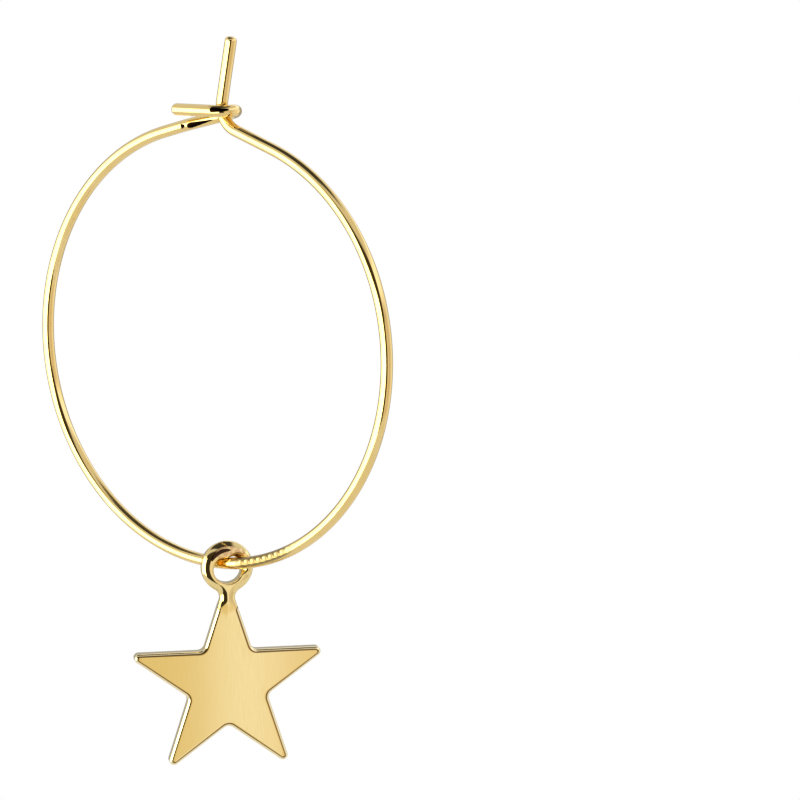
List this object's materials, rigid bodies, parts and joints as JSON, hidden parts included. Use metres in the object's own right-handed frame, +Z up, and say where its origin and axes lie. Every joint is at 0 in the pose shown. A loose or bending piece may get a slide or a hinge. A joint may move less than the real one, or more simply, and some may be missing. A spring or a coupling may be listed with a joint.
{
  "type": "hoop charm earring",
  "caption": "Thin gold hoop earring that fastens with its own bent hook and post, with a flat five-pointed star charm hanging loosely on it by a ring.",
  "frame": {"origin": "centre of the wire where it sits in the ear lobe, on the straight run beside the clasp", "axes": "+Z up as worn, the hoop stands in the XZ plane, +X towards the post's side of the hoop, and +Y away from the viewer of the star's face"},
  "size_m": [0.0301, 0.01, 0.0488],
  "materials": {
    "gold_wire": "polished gold plating",
    "gold_charm": "polished gold plating, flat face slightly soft"
  },
  "bodies": {
    "hoop": {"hoop_wire": "gold_wire"},
    "charm": {"star_charm": "gold_charm"}
  },
  "joints": [
    {"name": "charm_swing", "type": "hinge", "parent": "hoop", "child": "charm", "pos_m": [-0.00255, 0, -0.0285], "axis": [0.9976, 0, 0.0694], "continuous": true}
  ]
}
